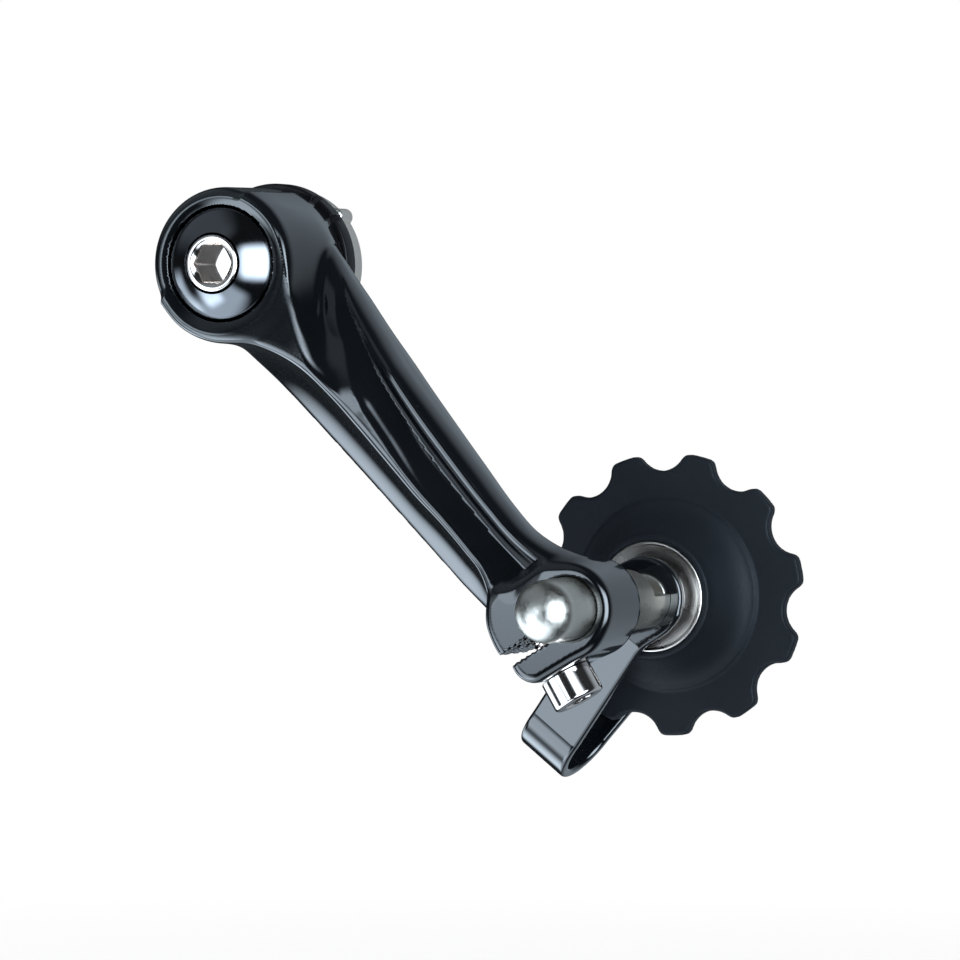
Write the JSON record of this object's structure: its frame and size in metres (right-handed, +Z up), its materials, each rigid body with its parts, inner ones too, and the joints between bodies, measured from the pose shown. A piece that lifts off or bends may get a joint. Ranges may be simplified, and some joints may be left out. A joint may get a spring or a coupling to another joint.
{
  "type": "chain tensioner",
  "caption": "Sprung bicycle chain tensioner: gloss black arm on a hanger bolt, toothed pulley on a sliding shaft held in a pinch clamp, with a bent chain guard.",
  "frame": {"origin": "on the arm's pivot axis, where the stop washer's rear face meets the frame's hanger", "axes": "+Y along the pivot into the hanger (inboard), +X forward, +Z up"},
  "size_m": [0.0968, 0.073, 0.0999],
  "materials": {
    "black_enamel": "gloss black stove enamel over forged aluminium",
    "black_chrome": "black chrome, mirror gloss",
    "bronze": "sintered bronze",
    "nylon": "natural nylon",
    "bright_steel": "bright plated steel",
    "steel": "turned steel",
    "spring_steel": "spring steel",
    "satin_steel": "satin stainless steel",
    "satin_alloy": "satin silver",
    "black_plastic": "gloss black",
    "black_guard": "satin black paint on bent strip",
    "seal_rubber": "black seal",
    "pulley_plastic": "satin black moulded plastic",
    "dust_cap_steel": "bright pressed steel"
  },
  "bodies": {
    "hanger": {"hanger_bolt": "bright_steel", "bolt_circlip": "spring_steel", "spring_ring": "black_plastic", "torsion_spring": "spring_steel", "stop_washer": "satin_alloy", "spring_sleeve": "nylon"},
    "arm": {"arm": "black_enamel", "stop_pin": "steel", "pivot_cap": "black_chrome", "pivot_bush": "bronze", "clamp_bolt": "bright_steel"},
    "shaft": {"pulley_shaft": "satin_steel", "pulley_bolt": "steel", "bolt_washer": "steel", "bearing_spacer": "steel", "front_spacer": "steel", "rear_spacer": "steel", "front_inner_race": "steel", "rear_inner_race": "steel"},
    "guard": {"chain_guard": "black_guard"},
    "wheel": {"pulley": "pulley_plastic", "front_dust_cap": "dust_cap_steel", "rear_dust_cap": "dust_cap_steel", "front_outer_race": "steel", "rear_outer_race": "steel", "front_balls": "steel", "rear_balls": "steel", "front_seal": "seal_rubber", "rear_seal": "seal_rubber"}
  },
  "joints": [
    {"name": "arm_swing", "type": "hinge", "parent": "hanger", "child": "arm", "pos_m": [0, 0, 0], "axis": [0, 1, 0], "range_deg": [-75, 0], "stiffness_Nm_per_rad": 1.2, "springref_deg": 20.05},
    {"name": "shaft_slide", "type": "slide", "parent": "arm", "child": "shaft", "axis": [0, 1, 0], "range_m": [-0.012, 0.008]},
    {"name": "guard_swing", "type": "hinge", "parent": "shaft", "child": "guard", "pos_m": [0.05972, 0.0202, -0.05472], "axis": [0, 1, 0], "range_deg": [-60, 60]},
    {"name": "pulley_spin", "type": "hinge", "parent": "shaft", "child": "wheel", "pos_m": [0.05972, 0.0202, -0.05472], "axis": [0, 1, 0], "continuous": true}
  ]
}
